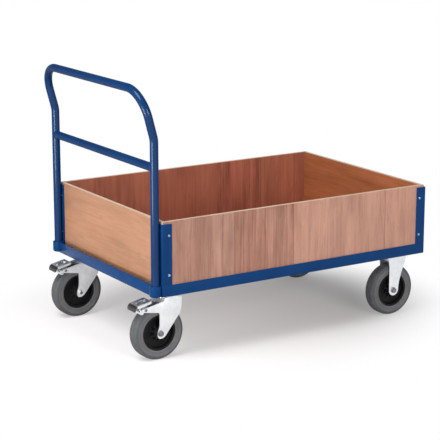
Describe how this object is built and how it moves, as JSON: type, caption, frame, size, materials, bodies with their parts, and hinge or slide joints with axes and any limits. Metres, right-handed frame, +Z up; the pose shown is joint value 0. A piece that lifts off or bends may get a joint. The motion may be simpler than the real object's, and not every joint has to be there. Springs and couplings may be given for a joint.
{
  "type": "panel trolley",
  "caption": "Flat trolley with low plywood walls on all sides, a plywood deck, a blue angle-steel frame, a bent tube push bar and fixed and braked swivel castors",
  "frame": {"origin": "on the floor below the middle of the overall box", "axes": "+X points along the trolley away from the push bar, +Y to the left as it is pushed, +Z up"},
  "size_m": [1.2488, 0.8068, 0.995],
  "materials": {
    "blue_powder_coat": "semi-gloss powder coat",
    "plywood": "satin clear coat",
    "zinc_plate": "bright zinc plating",
    "grey_rubber": "matt grey solid rubber",
    "black_plastic": "moulded",
    "bearing_steel": "polished"
  },
  "bodies": {
    "frame": {"post_rear_right": "blue_powder_coat", "post_front_right": "blue_powder_coat", "side_rail_right": "blue_powder_coat", "push_bar_socket_right": "blue_powder_coat", "panel_right": "plywood", "fixed_fork_front_right": "zinc_plate", "swivel_plate_rear_right": "zinc_plate", "king_pin_rear_right": "zinc_plate", "axle_front_right": "zinc_plate", "axle_nut_front_right": "zinc_plate", "post_rear_left": "blue_powder_coat", "post_front_left": "blue_powder_coat", "side_rail_left": "blue_powder_coat", "push_bar_socket_left": "blue_powder_coat", "panel_left": "plywood", "fixed_fork_front_left": "zinc_plate", "swivel_plate_rear_left": "zinc_plate", "king_pin_rear_left": "zinc_plate", "axle_front_left": "zinc_plate", "axle_nut_front_left": "zinc_plate", "end_rail_front": "blue_powder_coat", "end_rail_rear": "blue_powder_coat", "push_bar": "blue_powder_coat", "push_bar_cross_tube": "blue_powder_coat", "castor_beam_rear": "blue_powder_coat", "castor_beam_front": "blue_powder_coat", "middle_rail_1": "blue_powder_coat", "middle_rail_2": "blue_powder_coat", "panel_rear": "plywood", "panel_front": "plywood", "deck_board": "plywood", "deck_screws": "zinc_plate", "panel_screws": "zinc_plate", "rear_panel_screws": "zinc_plate", "castor_bolts": "zinc_plate", "castor_nuts": "zinc_plate"},
    "swivel_right": {"swivel_fork_rear_right": "zinc_plate", "swivel_balls_rear_right": "bearing_steel", "axle_rear_right": "zinc_plate", "axle_nut_rear_right": "zinc_plate", "pedal_pin_rear_right": "zinc_plate"},
    "pedal_right": {"brake_pedal_rear_right": "zinc_plate"},
    "wheel_rear_right": {"tyre_rear_right": "grey_rubber", "rim_rear_right": "black_plastic", "wheel_bush_rear_right": "bearing_steel"},
    "wheel_front_right": {"tyre_front_right": "grey_rubber", "rim_front_right": "black_plastic", "wheel_bush_front_right": "bearing_steel"},
    "swivel_left": {"swivel_fork_rear_left": "zinc_plate", "swivel_balls_rear_left": "bearing_steel", "axle_rear_left": "zinc_plate", "axle_nut_rear_left": "zinc_plate", "pedal_pin_rear_left": "zinc_plate"},
    "pedal_left": {"brake_pedal_rear_left": "zinc_plate"},
    "wheel_rear_left": {"tyre_rear_left": "grey_rubber", "rim_rear_left": "black_plastic", "wheel_bush_rear_left": "bearing_steel"},
    "wheel_front_left": {"tyre_front_left": "grey_rubber", "rim_front_left": "black_plastic", "wheel_bush_front_left": "bearing_steel"}
  },
  "joints": [
    {"name": "swivel_right_turn", "type": "hinge", "parent": "frame", "child": "swivel_right", "pos_m": [-0.46191, -0.312, 0.236], "axis": [0, 0, 1], "continuous": true},
    {"name": "wheel_rear_right_roll", "type": "hinge", "parent": "swivel_right", "child": "wheel_rear_right", "pos_m": [-0.52291, -0.312, 0.1], "axis": [0, 1, 0], "continuous": true},
    {"name": "wheel_front_right_roll", "type": "hinge", "parent": "frame", "child": "wheel_front_right", "pos_m": [0.52209, -0.312, 0.1], "axis": [0, 1, 0], "continuous": true},
    {"name": "pedal_right_press", "type": "hinge", "parent": "swivel_right", "child": "pedal_right", "pos_m": [-0.58186, -0.312, 0.19495], "axis": [0, -1, 0], "range_deg": [0, 16]},
    {"name": "swivel_left_turn", "type": "hinge", "parent": "frame", "child": "swivel_left", "pos_m": [-0.46191, 0.312, 0.236], "axis": [0, 0, 1], "continuous": true},
    {"name": "wheel_rear_left_roll", "type": "hinge", "parent": "swivel_left", "child": "wheel_rear_left", "pos_m": [-0.52291, 0.312, 0.1], "axis": [0, 1, 0], "continuous": true},
    {"name": "wheel_front_left_roll", "type": "hinge", "parent": "frame", "child": "wheel_front_left", "pos_m": [0.52209, 0.312, 0.1], "axis": [0, 1, 0], "continuous": true},
    {"name": "pedal_left_press", "type": "hinge", "parent": "swivel_left", "child": "pedal_left", "pos_m": [-0.58186, 0.312, 0.19495], "axis": [0, -1, 0], "range_deg": [0, 16]}
  ]
}
